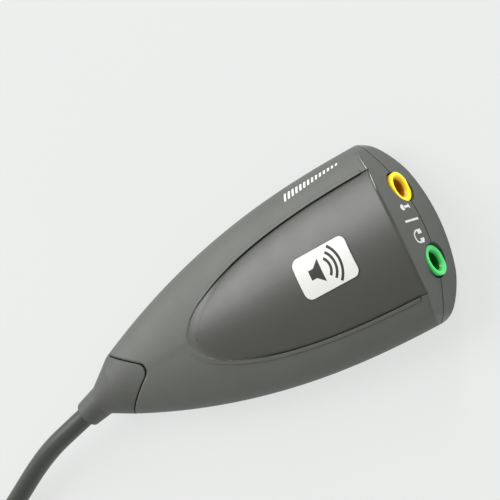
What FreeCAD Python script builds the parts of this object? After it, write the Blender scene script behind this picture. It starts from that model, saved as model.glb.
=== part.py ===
"""External sound card on a short lead: a tapered two-shell housing with two audio jacks in its nose,
a circuit board inside, a moulded grommet at the tail and a flat rectangular plug on the lead."""

import FreeCAD
import Part
import math
import os

from FreeCAD import Vector

# Driving dimensions, in millimetres. Distances "behind" are measured back from the tip of the nose.

# Housing
body_length = 76.5          # tip of the nose to the shoulders at the tail
body_width = 36.8
tail_width = 13.0
widest_behind = 12.0        # where the sides start to draw in
side_sweep = 2.15           # how late the sides draw in, as an exponent
crown_height = 7.0          # upper shell above the parting plane, at the nose
tail_crown = 4.3
keel_depth = 6.5            # parting plane above the flat of the base
hull_depth = 7.7            # lower shell below the parting plane, before the flat is cut
tail_depth = 4.3
upper_roundness = 2.0       # 2 is an ellipse, more is squarer
lower_roundness = 2.6
nose_bow = 35.0             # radius of the nose in plan
nose_corner = 5.0           # radius of its corners in plan
nose_corner_out = 0.9       # how far the corner arcs reach past the sides
nose_lean = 0.9             # how far the upper nose leans back at crown height
nose_round = 0.6            # radius of the edges round the face of the nose
wall = 1.6

# Joint between the two shells
seam_gap = 0.22
seam_depth = 0.45

# Raised panel on the upper shell
panel_length = 54.6
panel_width = 25.4
panel_sweep = 2.6
panel_rise = 1.5            # middle of the panel above the hull
panel_tip_fade = 6.0        # how late the panel comes down to the hull at its tip, as an exponent
panel_recess = 0.3          # edge of the panel below the hull
lip_width = 0.6             # narrow raised lip round the panel
lip_height = 0.18
lip_setback = 1.4           # end of the lip behind the face of the nose

# Label on the panel
label_length = 12.8
label_width = 8.2
label_corner = 1.5
label_behind = 18.2
label_thickness = 0.2

# Grommet and lead
neck_length = 5.8
neck_shift = 0.9            # end of the neck to one side, as the lead pulls it
boot_length = 5.0
boot_base = 6.4             # diameters of the boot
boot_end = 5.6
boot_turn = 12.0            # degrees that the boot is turned to the same side
chevron_length = 11.0       # shoulders to the tip of the arrow-shaped joint of the shells and the grommet
chevron_slope = 1.6
chevron_round = 1.6
grommet_gap = 0.5
shell_tip_width = 0.5       # how blunt the shells end beside the grommet
anchor_length = 14.5        # shoulders to the front of the part of the grommet that the shells enclose
anchor_clearance = 0.03
jacket_stub = 2.5
cord_diameter = 4.0

# Jacks
jack_spacing = 15.0
jack_barrel = 6.0           # diameter
jack_hole_clearance = 0.3
jack_recess = 0.1           # mouth of the barrel behind the nose
jack_bore = 3.6             # diameter
jack_lead_in = 4.8          # diameter of the bore's mouth
jack_lead_in_depth = 0.7
jack_bore_length = 14.0
jack_body_behind = 4.2
jack_body_length = 13.2
jack_body_width = 7.4
jack_body_height = 5.6
jack_contact_thickness = 0.3
jack_contact_height = 2.2
jack_contact_length = 4.0
jack_tail_width = 1.0
jack_tail_below = 0.6       # below the board
jack_contact_margin = 0.6   # from the ends of the jack's block

# Circuit board and what is on it
board_thickness = 1.0
board_behind = 4.6
board_length = 45.0
board_front_width = 25.0
board_rear_width = 14.6
board_straight = 17.5       # length of the board that has its full width
tail_slot_clearance = 0.06
post_radius = 1.2
hold_front = 4.4            # posts that hold the board, from its front and rear edges and to each side
hold_middle = 15.9
hold_middle_side = 10.6
hold_rear = 4.1
hold_rear_side = 5.4
chip_side = 7.0
chip_height = 1.4
chip_from_rear = 17.1       # middle of the chip ahead of the board's rear edge
chip_leads_per_side = 12
chip_lead_pitch = 0.5
chip_lead_width = 0.22
chip_lead_reach = 1.0
chip_lead_height = 0.25
crystal_length = 11.0
crystal_width = 4.6
crystal_height = 3.5
crystal_from_rear = 7.3
capacitor_radius = 2.0
capacitor_height = 5.4
capacitor_side = 4.6        # two capacitors side by side, a third behind them
capacitor_from_jacks = 4.6
capacitor_step = 2.8
chip_part_length = 1.6      # small ceramic parts
chip_part_width = 0.8
chip_part_height = 0.7
ceramic_places = ((-5.0, 7.4), (-2.0, 7.4), (1.0, 7.4), (-5.0, -7.4), (-2.0, -7.4), (1.0, -7.4))  # behind the chip
resistor_places = ((3.5, 6.6), (5.5, 6.6), (3.5, -6.6), (5.5, -6.6))

# Posts that locate the shells on each other
dowel_radius = 1.1
dowel_clearance = 0.06
dowel_height = 1.8          # above the parting plane
socket_wall = 0.9
dowel_front = 9.5           # behind the nose
dowel_front_gap = 0.44      # between a front socket and the contact of the jack beside it
dowel_rear = 22.0           # ahead of the shoulders
dowel_rear_inset = 5.9

# Conductors of the lead, from the jacket to the board
conductor_radius = 0.45
conductor_bundle = 0.6      # middle of each conductor from the middle of the jacket, both ways
conductor_pitch = 2.2       # where they land on the board
conductor_from_rear = 2.0   # where they end, ahead of the board's rear edge
conductor_flat = 3.0        # length that lies on the board
conductor_straight = 2.5    # length that leaves the jacket straight

# Plug
plug_body_length = 20.0
plug_body_width = 15.6
plug_body_height = 7.9
plug_body_round = 1.6
plug_relief_length = 8.0
plug_relief_base = 6.8
plug_relief_end = 5.2
plug_grip_count = 5
plug_grip_width = 1.0
plug_grip_pitch = 2.2
plug_grip_depth = 0.35
plug_shell_length = 18.75
plug_shell_width = 12.0
plug_shell_height = 4.5
plug_shell_sheet = 0.3
plug_shell_seat = 3.0       # length of the shell inside the moulding
plug_window_length = 2.2
plug_window_width = 2.4
plug_window_offset = 2.6    # middle of each window from the middle of the shell
plug_window_behind = 6.2
plug_insulator_height = 1.85
plug_insulator_recess = 0.4
plug_contact_width = 1.0
plug_contact_thickness = 0.2
plug_contact_pitch = 2.2
plug_contact_length = 9.0

# Route of the lead from the boot to the plug, chosen by hand: along, across and clear of the floor
cord_first_run = 6.0
cord_route = (
    (12.0, -3.2, 4.1),
    (18.8, -6.1, 3.0),
    (26.2, -9.2, 1.7),
    (34.6, -12.2, 0.6),
    (44.4, -14.4, 0.05),
    (55.4, -15.3, 0.0),
    (66.8, -14.7, 0.05),
    (77.8, -13.2, 0.4),
    (87.6, -12.0, 1.1),
    (96.6, -11.4, 1.95),
    (104.6, -11.4, 1.95),
)

# Sizes that follow from those above
boot_angle = math.radians(boot_turn)
boot_reach = boot_length * math.cos(boot_angle) + boot_end / 2 * math.sin(boot_angle)
overall_length = body_length + neck_length + boot_reach
nose_x = overall_length / 2
seam_z = keel_depth
neck_x = nose_x - body_length - neck_length
boot_axis = Vector(-math.cos(boot_angle), -math.sin(boot_angle), 0)
neck_end = Vector(neck_x, -neck_shift, seam_z)
boot_tip = neck_end + boot_axis * boot_length
chevron_behind = body_length - chevron_length
anchor_behind = body_length - anchor_length
board_rear = board_behind + board_length
chip_behind = board_rear - chip_from_rear
crystal_behind = board_rear - crystal_from_rear
conductor_landing = board_rear - conductor_from_rear
board_top = seam_z - jack_body_height / 2
board_bottom = board_top - board_thickness
far = 200.0                 # larger than the housing in every direction
overrun = 3.0               # how far cutting shapes run past what they cut
shares = (0.105, 0.235, 0.366, 0.497, 0.627, 0.745, 0.85, 0.935, 1.0)
stations = [-overrun] + [body_length * s for s in shares] + [body_length + overrun]
section_points = 9          # points on each half of a hull section


def place(behind, across=0.0, height=0.0):
    """A point given by its distance behind the nose."""
    return Vector(nose_x - behind, across, height)


def box(x_low, x_high, y_low, y_high, z_low, z_high):
    return Part.makeBox(x_high - x_low, y_high - y_low, z_high - z_low, Vector(x_low, y_low, z_low))


def centred_box(middle, length, width, height):
    """A box standing on the point `middle`."""
    corner = Vector(middle.x - length / 2, middle.y - width / 2, middle.z)
    return Part.makeBox(length, width, height, corner)


def upright(centre, radius, z_low, z_high):
    return Part.makeCylinder(radius, z_high - z_low, Vector(centre.x, centre.y, z_low))


def slab(z_low, z_high):
    return box(-far, far, -far, far, z_low, z_high)


# Forms of the housing


def tail_share(behind, start, power):
    """0 ahead of `start`, growing to 1 at the shoulders of the tail."""
    return (max(0.0, behind - start) / (body_length - start)) ** power


def both_sides(behind, across):
    return [(behind, across), (behind, -across)]


def hold_points():
    """Where posts of both shells hold the board."""
    middle = both_sides(board_behind + hold_middle, hold_middle_side)
    rear = both_sides(board_rear - hold_rear, hold_rear_side)
    return [(board_behind + hold_front, 0.0)] + middle + rear


def dowel_places():
    rear = body_length - dowel_rear
    contact_side = (jack_spacing + jack_body_width) / 2 + jack_contact_thickness
    front_side = contact_side + dowel_front_gap + socket_wall + dowel_clearance + dowel_radius
    return both_sides(dowel_front, front_side) + both_sides(rear, half_width(rear) - dowel_rear_inset)


def capacitor_places():
    first = jack_body_behind + jack_body_length + capacitor_from_jacks
    return both_sides(first, capacitor_side) + [(first + capacitor_step, 0.0)]


def half_width(behind):
    return (body_width - (body_width - tail_width) * tail_share(behind, widest_behind, side_sweep)) / 2


def crown(behind):
    return crown_height - (crown_height - tail_crown) * tail_share(behind, 0.0, 2.0)


def depth(behind):
    return hull_depth - (hull_depth - tail_depth) * tail_share(behind, 0.0, 2.0)


def arch(x, half, height, roundness):
    """Half a superellipse across the part, as one curve from -Y to +Y. A negative height hangs down."""
    points = []
    for i in range(section_points):
        angle = math.pi * (1 - i / (section_points - 1))
        across = math.copysign(abs(math.cos(angle)) ** (2 / roundness), math.cos(angle))
        rise = abs(math.sin(angle)) ** (2 / roundness)
        points.append(Vector(x, half * across, seam_z + height * rise))
    points[0].z = points[-1].z = seam_z
    curve = Part.BSplineCurve()
    side = Vector(0, 0, math.copysign(1, height))
    curve.interpolate(points, InitialTangent=side, FinalTangent=side * -1, Scale=False)
    return curve.toShape()


def half_section(x, half, height, roundness):
    """An arch closed by a straight line in the parting plane."""
    curve = arch(x, half, height, roundness)
    ends = [v.Point for v in curve.Vertexes]
    return Part.Wire([curve, Part.makeLine(ends[1], ends[0])])


def hull(inset):
    """Upper and lower halves of the smooth outer form, drawn in by `inset` and not yet cut at the nose."""
    upper, lower = [], []
    for d in stations:
        x, half = nose_x - d, half_width(d) - inset
        upper.append(half_section(x, half, crown(d) - inset, upper_roundness))
        lower.append(half_section(x, half, inset - depth(d), lower_roundness))
    return Part.makeLoft(upper, True, False), Part.makeLoft(lower, True, False)


def nose_outline(setback, z):
    """Plan of the nose: a bow with rounded corners, closed behind the tail."""
    bow = nose_bow - setback
    corner = nose_corner - setback
    bow_x = nose_x - nose_bow
    corner_y = body_width / 2 + nose_corner_out - nose_corner
    reach = nose_bow - nose_corner
    turn = math.asin(corner_y / reach)
    corner_x = bow_x + reach * math.cos(turn)
    tail_x = nose_x - body_length - 2 * overrun

    def on_bow(angle):
        return Vector(bow_x + bow * math.cos(angle), bow * math.sin(angle), z)

    def on_corner(angle, side):
        return Vector(corner_x + corner * math.cos(angle), side * (corner_y + corner * math.sin(angle)), z)

    half_turn = (turn + math.pi / 2) / 2
    left, right = on_corner(math.pi / 2, 1), on_corner(math.pi / 2, -1)
    back_left, back_right = Vector(tail_x, left.y, z), Vector(tail_x, right.y, z)
    return Part.Wire([
        Part.Arc(right, on_corner(half_turn, -1), on_bow(-turn)).toShape(),
        Part.Arc(on_bow(-turn), on_bow(0), on_bow(turn)).toShape(),
        Part.Arc(on_bow(turn), on_corner(half_turn, 1), left).toShape(),
        Part.makeLine(left, back_left),
        Part.makeLine(back_left, back_right),
        Part.makeLine(back_right, right),
    ])


def nose_form(inset):
    """Everything behind the nose's face, which is upright below the seam and leans back above it."""
    top = seam_z + crown_height + panel_rise + overrun
    lean = nose_lean * (top - seam_z) / crown_height
    levels = ((0.0 - overrun, 0.0), (seam_z, 0.0), (top, lean))
    halves = []
    for (z_low, low), (z_high, high) in zip(levels[:-1], levels[1:]):
        wires = [nose_outline(inset + low, z_low), nose_outline(inset + high, z_high)]
        halves.append(Part.makeLoft(wires, True, True))
    return halves


def housing_form(inset):
    """Upper and lower halves of the housing's form, drawn in by `inset` all round."""
    upper, lower = hull(inset)
    lower_nose, upper_nose = nose_form(inset)
    return upper.common(upper_nose), lower.common(lower_nose).common(slab(inset, seam_z))


def soften_nose(form):
    """Rounds the edge between the face of the nose and the skin of a form."""
    skin = max(form.Faces, key=lambda face: abs(face.CenterOfMass.z - seam_z))
    rim = [e for e in skin.Edges if e.CenterOfMass.x > nose_x - body_width / 4]
    rim = [e for e in rim if abs(e.CenterOfMass.z - seam_z) > nose_round]
    return form.makeFillet(nose_round, rim)


def panel_half_width(behind):
    share = min(0.999, max(0.0, behind) / panel_length)
    return panel_width / 2 * (1 - share ** panel_sweep) ** (1 / 1.8)


def panel_prism(grow):
    """The bullet-shaped plan of the raised panel, `grow` wider all round, upright through the upper shell."""
    share_points = (0.0, 0.2, 0.4, 0.58, 0.74, 0.87, 0.96)
    side = [place((panel_length + grow) * s, panel_half_width(panel_length * s) + grow) for s in share_points]
    tip = place(panel_length + grow)
    other = [Vector(p.x, -p.y, p.z) for p in reversed(side)]
    curve = Part.BSplineCurve()
    ahead = Vector(1, 0, 0)
    curve.interpolate(side + [tip] + other, InitialTangent=ahead * -1, FinalTangent=ahead, Scale=False)
    front = nose_x + overrun
    corners = [side[0], Vector(front, side[0].y, 0), Vector(front, -side[0].y, 0), other[-1]]
    lines = [Part.makeLine(a, b) for a, b in zip(corners[:-1], corners[1:])]
    face = Part.Face(Part.Wire([curve.toShape()] + lines))
    face.translate(Vector(0, 0, seam_z))
    return face.extrude(Vector(0, 0, crown_height + panel_rise + overrun))


def hull_height(behind, across):
    """Height of the upper hull above the parting plane."""
    return crown(behind) * math.sqrt(1 - (across / half_width(behind)) ** 2)


def panel_height(share):
    """Height of the panel along its middle."""
    fade = 1 - max(0.0, share) ** panel_tip_fade
    return crown(panel_length * share) + panel_rise * fade - panel_recess * (1 - fade)


def panel_reach(share):
    """Half-width, at the parting plane, of an arch that dips just below the hull along the panel's edge."""
    behind = panel_length * share
    edge_y = panel_half_width(behind)
    edge = hull_height(behind, edge_y) - panel_recess
    return edge_y / math.sqrt(1 - (edge / panel_height(share)) ** 2)


def panel_crown(raise_by):
    """The panel's own crowned form: above the hull along its middle and just below it along its edge."""
    arches = [(share, panel_reach(share)) for share in (-0.06, 0.15, 0.33, 0.5, 0.66, 0.8, 0.9)]
    before, last = arches[-2:]
    for steps in (1, 2):
        arches.append(tuple(b + steps * (b - a) for a, b in zip(before, last)))
    sections = [
        half_section(nose_x - panel_length * share, reach, panel_height(share) + raise_by, upper_roundness)
        for share, reach in arches
    ]
    return Part.makeLoft(sections, True, False)


def chevron(shift):
    """Upright arrow-shaped prism that marks off the tail for the grommet."""
    tip = place(chevron_behind - shift)
    back = body_length + 2 * overrun
    half = (back - chevron_behind) / chevron_slope
    left, right = place(back - shift, half), place(back - shift, -half)
    far_left, far_right = Vector(-far, half, 0), Vector(-far, -half, 0)
    corners = [left, tip, right, far_right, far_left, left]
    prism = Part.Face(Part.makePolygon(corners)).extrude(Vector(0, 0, far))
    nose_edge = [e for e in prism.Edges if all(abs(v.X - tip.x) + abs(v.Y) < 1e-6 for v in e.Vertexes)]
    return prism.makeFillet(chevron_round, nose_edge)


def shell_end():
    """Everything that the shells leave to the grommet: the arrow, and what is left too thin beside it."""
    behind = chevron_behind
    for _ in range(20):
        behind = chevron_behind - grommet_gap + chevron_slope * (half_width(behind) - shell_tip_width)
    return chevron(grommet_gap).fuse(box(-far, nose_x - behind, -far, far, -far, far))


# Housing pieces


def jack_places():
    return {"microphone": jack_spacing / 2, "headphone": -jack_spacing / 2}


def nose_behind(across):
    """How far the bowed nose lies behind its tip, off to one side."""
    return nose_bow - math.sqrt(nose_bow ** 2 - across ** 2)


def jack_holes():
    """Clearance round the two barrels, through the nose of both shells."""
    radius = jack_barrel / 2 + jack_hole_clearance
    length = jack_body_behind + 2 * overrun
    holes = [
        Part.makeCylinder(radius, length, place(jack_body_behind + overrun, y, seam_z), Vector(1, 0, 0))
        for y in jack_places().values()
    ]
    return holes[0].fuse(holes[1:])


def top_shell(forms):
    nose, prism = forms["nose"][1], panel_prism(0.0)
    lip = hull(-lip_height)[0].common(nose_form(lip_setback)[1]).common(panel_prism(lip_width))
    panel = soften_nose(panel_crown(0.0).common(nose)).common(prism)
    shell = soften_nose(forms["outer"][0]).fuse(lip).cut(prism).fuse(panel)
    shell = shell.cut(forms["cavity"][0])
    reveal = slab(seam_z - overrun, seam_z + seam_gap).cut(forms["reveal"][0])
    shell = shell.cut(reveal)
    ceiling = forms["half_wall"][0]
    posts = [upright(place(d, y), post_radius, board_top, far).common(ceiling) for d, y in hold_points()]
    posts += [
        upright(place(d, y), dowel_radius + dowel_clearance + socket_wall, seam_z, far).common(ceiling)
        for d, y in dowel_places()
    ]
    shell = shell.fuse(posts)
    sockets = [
        upright(place(d, y), dowel_radius + dowel_clearance, 0, seam_z + dowel_height + dowel_clearance)
        for d, y in dowel_places()
    ]
    shell = shell.cut(sockets).cut(jack_holes()).cut(forms["tail"])
    return shell.removeSplitter()


def bottom_shell(forms):
    shell = soften_nose(forms["hull"][1].common(forms["nose"][0])).common(slab(0, seam_z))
    shell = shell.cut(forms["cavity"][1])
    floor = forms["half_wall"][1]
    posts = [upright(place(d, y), post_radius, 0, board_bottom).common(floor) for d, y in hold_points()]
    for d, y in dowel_places():
        dowel = upright(place(d, y), dowel_radius, 0, seam_z + dowel_height)
        posts.append(dowel.common(floor.fuse(slab(seam_z, far))))
    shell = shell.fuse(posts)
    return shell.cut(jack_holes()).cut(forms["tail"]).removeSplitter()


def label():
    """Thin label that follows the crown of the panel."""
    outline = centred_box(place(label_behind, 0, seam_z), label_length, label_width, far)
    upright_edges = [e for e in outline.Edges if abs(e.Vertexes[0].Z - e.Vertexes[-1].Z) > 1]
    outline = outline.makeFillet(label_corner, upright_edges)
    return panel_crown(label_thickness).common(outline).cut(panel_crown(0.0))


def turned_section(centre, turn, radius, side):
    """Half of a round section of the boot, turned to one side. `side` is 1 above and -1 below."""
    section = half_section(centre.x, radius, side * radius, upper_roundness)
    section.translate(Vector(0, centre.y, 0))
    section.rotate(centre, Vector(0, 0, 1), turn)
    return section


def grommet(forms):
    """Tail block flush with the shells, its neck and boot, and the part that the shells enclose."""
    tail_x = nose_x - body_length
    marked = chevron(0.0).common(box(tail_x, far, -far, far, -far, far))
    enclosed = box(tail_x, nose_x - anchor_behind, -far, far, -far, far)
    pieces = [form.common(marked) for form in forms["hull"]]
    pieces += [form.common(enclosed) for form in hull(wall + anchor_clearance)]
    for side, shoulder, roundness in ((1, tail_crown, upper_roundness), (-1, tail_depth, lower_roundness)):
        root = turned_section(neck_end, boot_turn / 2, boot_base / 2, side)
        pieces.append(Part.makeLoft([
            half_section(tail_x, tail_width / 2, side * shoulder, roundness),
            root,
        ], True, True))
        pieces.append(Part.makeLoft([root, turned_section(boot_tip, boot_turn, boot_end / 2, side)], True, True))
    stub_start = Vector(nose_x - anchor_behind, 0, seam_z)
    stub = Part.makeCylinder(cord_diameter / 2, jacket_stub, stub_start, Vector(1, 0, 0))
    return pieces[0].fuse(pieces[1:] + [stub]).removeSplitter()


# Electronics


def jack(across):
    """Moulded jack: a block on the board with a round barrel that reaches into the nose."""
    mouth = nose_behind(jack_spacing / 2) + jack_recess
    axis = Vector(-1, 0, 0)
    middle = place(jack_body_behind + jack_body_length / 2, across, board_top)
    body = centred_box(middle, jack_body_length, jack_body_width, jack_body_height)
    barrel_length = jack_body_behind + overrun - mouth
    barrel = Part.makeCylinder(jack_barrel / 2, barrel_length, place(mouth, across, seam_z), axis)
    barrel = barrel.common(slab(board_top, seam_z + jack_barrel))
    bore = Part.makeCylinder(jack_bore / 2, jack_bore_length, place(mouth, across, seam_z), axis)
    cone_start = place(mouth, across, seam_z)
    lead_in = Part.makeCone(jack_lead_in / 2, jack_bore / 2, jack_lead_in_depth, cone_start, axis)
    return body.fuse(barrel).cut(bore).cut(lead_in).removeSplitter()


def jack_contact(across, side, behind):
    """A flat spring against one side of a jack, with a tail that goes down through the board."""
    face = across + side * (jack_body_width + jack_contact_thickness) / 2
    middle = place(behind, face, seam_z - jack_contact_height / 2)
    leaf = centred_box(middle, jack_contact_length, jack_contact_thickness, jack_contact_height)
    return leaf.fuse(contact_tail(face, behind, 0.0)).removeSplitter()


def contact_tail(face, behind, clearance):
    top = seam_z - jack_contact_height / 2 + clearance
    length = jack_tail_width + 2 * clearance
    thickness = jack_contact_thickness + 2 * clearance
    bottom = place(behind, face, board_bottom - jack_tail_below)
    return centred_box(bottom, length, thickness, top - bottom.z)


def contact_places(across):
    """Name, side and place of the three contacts of one jack."""
    edge = jack_contact_margin + jack_contact_length / 2
    first = jack_body_behind + edge
    last = jack_body_behind + jack_body_length - edge
    outward = math.copysign(1, across)
    return (
        ("sleeve_contact", outward, first),
        ("ring_contact", outward, last),
        ("tip_contact", -outward, last),
    )


def circuit_board():
    corners = [
        place(board_behind, board_front_width / 2),
        place(board_behind + board_straight, board_front_width / 2),
        place(board_rear, board_rear_width / 2),
        place(board_rear, -board_rear_width / 2),
        place(board_behind + board_straight, -board_front_width / 2),
        place(board_behind, -board_front_width / 2),
    ]
    face = Part.Face(Part.makePolygon(corners + corners[:1]))
    face.translate(Vector(0, 0, board_bottom))
    board = face.extrude(Vector(0, 0, board_thickness))
    slots = []
    for across in jack_places().values():
        for _, side, behind in contact_places(across):
            face_y = across + side * (jack_body_width + jack_contact_thickness) / 2
            slots.append(contact_tail(face_y, behind, tail_slot_clearance))
    return board.cut(slots)


def codec_chip():
    base = place(chip_behind, 0, board_top + chip_lead_height / 2)
    chip = centred_box(base, chip_side, chip_side, chip_height)
    edges = [e for e in chip.Edges if e.BoundBox.ZMin > board_top + chip_height / 2]
    return chip.makeChamfer(0.2, edges)


def codec_leads():
    """Flat leads on the four sides of the chip, each a separate piece of metal."""
    leads = []
    reach = chip_side / 2 + chip_lead_reach / 2
    first = -(chip_leads_per_side - 1) / 2 * chip_lead_pitch
    for i in range(chip_leads_per_side):
        along = first + i * chip_lead_pitch
        for side in (1, -1):
            on_x = place(chip_behind + side * reach, along, board_top)
            on_y = place(chip_behind + along, side * reach, board_top)
            leads.append(centred_box(on_x, chip_lead_reach, chip_lead_width, chip_lead_height))
            leads.append(centred_box(on_y, chip_lead_width, chip_lead_reach, chip_lead_height))
    return Part.makeCompound(leads)


def crystal():
    """Oval metal can that stands on the board."""
    can = centred_box(place(crystal_behind, 0, board_top), crystal_width, crystal_length, crystal_height)
    upright_edges = [e for e in can.Edges if abs(e.Vertexes[0].Z - e.Vertexes[-1].Z) > crystal_height / 2]
    can = can.makeFillet(0.49 * crystal_width, upright_edges)
    top = [e for e in can.Edges if e.BoundBox.ZMin > board_top + crystal_height / 2]
    return can.makeFillet(0.4, top)


def electrolytic_capacitors():
    cans = []
    for d, y in capacitor_places():
        can = upright(place(d, y), capacitor_radius, board_top, board_top + capacitor_height)
        rim = [e for e in can.Edges if e.BoundBox.ZMin > board_top + capacitor_height / 2]
        cans.append(can.makeFillet(0.3, rim))
    return Part.makeCompound(cans)


def small_parts(places):
    size = (chip_part_width, chip_part_length, chip_part_height)
    return Part.makeCompound([centred_box(place(chip_behind + d, y, board_top), *size) for d, y in places])


def bent_tube(points, radius):
    """A round tube along straight runs joined by tangent arcs, and the radii of those arcs."""
    points = [Vector(*p) for p in points]
    edges, radii = [], []
    start = points[0]
    for before, corner, after in zip(points[:-2], points[1:-1], points[2:]):
        inward, outward = before - corner, after - corner
        trim = 0.45 * min(inward.Length, outward.Length)
        inward.normalize()
        outward.normalize()
        turn = math.pi - inward.getAngle(outward)
        radii.append(trim / math.tan(turn / 2))
        enter, leave = corner + inward * trim, corner + outward * trim
        bisector = inward + outward
        bisector.normalize()
        centre = corner + bisector * (radii[-1] / math.cos(turn / 2))
        middle = centre - bisector * radii[-1]
        edges += [Part.makeLine(start, enter), Part.Arc(enter, middle, leave).toShape()]
        start = leave
    edges.append(Part.makeLine(start, points[-1]))
    path = Part.Wire(edges)
    section = Part.Wire(Part.makeCircle(radius, points[0], points[1] - points[0]))
    tube = path.makePipeShell([section], True, False)
    return tube, path.Length, radii


def conductors():
    """Four insulated wires from the end of the jacket down to the back edge of the board."""
    wires = {}
    start = anchor_behind - jacket_stub
    lying = board_top + conductor_radius
    for i, colour in enumerate(("red", "white", "green", "black")):
        across = conductor_bundle * (-1 if i < 2 else 1)
        level = seam_z + conductor_bundle * (1 if i in (1, 2) else -1)
        landing = (i - 1.5) * conductor_pitch
        points = [
            place(start, across, level),
            place(start - conductor_straight, across, level),
            place(conductor_landing + conductor_flat, landing, lying),
            place(conductor_landing, landing, lying),
        ]
        wires[f"wire_{colour}"] = bent_tube(points, conductor_radius)[0]
    return wires


# Lead and plug


def cord_points():
    """The lead's route, straight out of the boot at first."""
    points = [boot_tip, boot_tip + boot_axis * cord_first_run]
    for along, across, clear in cord_route:
        points.append(Vector(boot_tip.x - along, boot_tip.y + across, cord_diameter / 2 + clear))
    return points


def plug_origin():
    """Where the lead enters the plug. The plug points along -X from there and lies flat."""
    return cord_points()[-1]


def along_x(edges):
    return [e for e in edges if abs(e.tangentAt(e.FirstParameter).x) > 0.9]


def plug_overmould():
    """Moulded grip with ribs down both sides and a tapered relief for the lead."""
    end = plug_origin()
    middle_x = end.x - plug_relief_length - plug_body_length / 2
    base = end.z - plug_body_height / 2
    middle = Vector(middle_x, end.y, base)
    body = centred_box(middle, plug_body_length, plug_body_width, plug_body_height)
    body = body.makeFillet(plug_body_round, along_x(body.Edges))
    grips = []
    for i in range(plug_grip_count):
        x = middle_x + (i - (plug_grip_count - 1) / 2) * plug_grip_pitch
        for side in (1, -1):
            foot = Vector(x, end.y + side * plug_body_width / 2, base)
            grips.append(centred_box(foot, plug_grip_width, 2 * plug_grip_depth, plug_body_height))
    axis = Vector(-1, 0, 0)
    relief = Part.makeCone(plug_relief_end / 2, plug_relief_base / 2, plug_relief_length, end, axis)
    seat = plug_sleeve(0.0, plug_shell_seat)
    return body.cut(grips).fuse(relief).cut(seat).removeSplitter()


def plug_sleeve(inset, behind):
    """Solid of the metal shell's outline, from `behind` inside the moulding to its open end."""
    end = plug_origin()
    face_x = end.x - plug_relief_length - plug_body_length
    length = plug_shell_length + behind
    width, height = plug_shell_width - 2 * inset, plug_shell_height - 2 * inset
    middle = Vector(face_x + behind - length / 2, end.y, end.z - height / 2)
    sleeve = centred_box(middle, length, width, height)
    return sleeve.makeFillet(0.5, along_x(sleeve.Edges))


def plug_open_end():
    return plug_origin().x - plug_relief_length - plug_body_length - plug_shell_length


def plug_shell():
    end = plug_origin()
    shell = plug_sleeve(0.0, plug_shell_seat).cut(plug_sleeve(plug_shell_sheet, plug_shell_seat))
    windows = []
    for side in (1, -1):
        middle = Vector(plug_open_end() + plug_window_behind, end.y + side * plug_window_offset, 0)
        windows.append(centred_box(middle, plug_window_length, plug_window_width, plug_body_height))
    return shell.cut(windows)


def plug_insulator():
    """Tongue that fills the upper part of the metal shell."""
    end = plug_origin()
    inner = plug_sleeve(plug_shell_sheet, plug_shell_seat)
    top = end.z + plug_shell_height / 2 - plug_shell_sheet
    low = plug_open_end() + plug_insulator_recess
    return inner.common(box(low, end.x, -far, far, top - plug_insulator_height, top))


def plug_contacts():
    """Four strips under the tongue."""
    end = plug_origin()
    under = end.z + plug_shell_height / 2 - plug_shell_sheet - plug_insulator_height
    x = plug_open_end() + 2 * plug_insulator_recess + plug_contact_length / 2
    size = (plug_contact_length, plug_contact_width, plug_contact_thickness)
    strips = []
    for i in range(4):
        y = end.y + (i - 1.5) * plug_contact_pitch
        strips.append(centred_box(Vector(x, y, under - plug_contact_thickness), *size))
    return Part.makeCompound(strips)


def build():
    nodes = {}
    forms = {
        "hull": hull(0.0),
        "nose": nose_form(0.0),
        "outer": housing_form(0.0),
        "cavity": housing_form(wall),
        "half_wall": housing_form(wall / 2),
        "reveal": housing_form(seam_depth),
        "tail": shell_end(),
    }
    nodes["top_shell"] = top_shell(forms)
    nodes["bottom_shell"] = bottom_shell(forms)
    nodes["label"] = label()
    nodes["cable_grommet"] = grommet(forms)
    nodes["circuit_board"] = circuit_board()
    for name, across in jack_places().items():
        nodes[f"{name}_jack"] = jack(across)
        for contact, side, behind in contact_places(across):
            nodes[f"{name}_{contact}"] = jack_contact(across, side, behind)
    nodes["codec_chip"] = codec_chip()
    nodes["codec_leads"] = codec_leads()
    nodes["crystal"] = crystal()
    nodes["electrolytic_capacitors"] = electrolytic_capacitors()
    nodes["ceramic_capacitors"] = small_parts(ceramic_places)
    nodes["resistors"] = small_parts(resistor_places)
    nodes.update(conductors())
    cord, length, radii = bent_tube(cord_points(), cord_diameter / 2)
    section = math.pi * cord_diameter ** 2 / 4
    print("cord length %.1f, volume over section %.1f" % (length, cord.Volume / section))
    print("cord radii", [round(r, 1) for r in radii])
    print("cord points", [tuple(round(c, 2) for c in p) for p in cord_points()])
    nodes["usb_cord"] = cord
    nodes["plug_overmould"] = plug_overmould()
    nodes["plug_shell"] = plug_shell()
    nodes["plug_insulator"] = plug_insulator()
    nodes["plug_contacts"] = plug_contacts()
    return nodes


os.makedirs("parts", exist_ok=True)
for node, shape in build().items():
    shape.exportStep(f"parts/{node}.step")
    print(node, len(shape.Solids), shape.isValid(), "%.1f" % shape.Volume)
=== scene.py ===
"""Dresses the sound card.

Gives every piece its finish, and adds the lead, the printed marks and the stage with its camera.
"""

import math

import bpy
from bpy.props import FloatProperty, FloatVectorProperty, PointerProperty, StringProperty
from mathutils import Matrix, Vector


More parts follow.
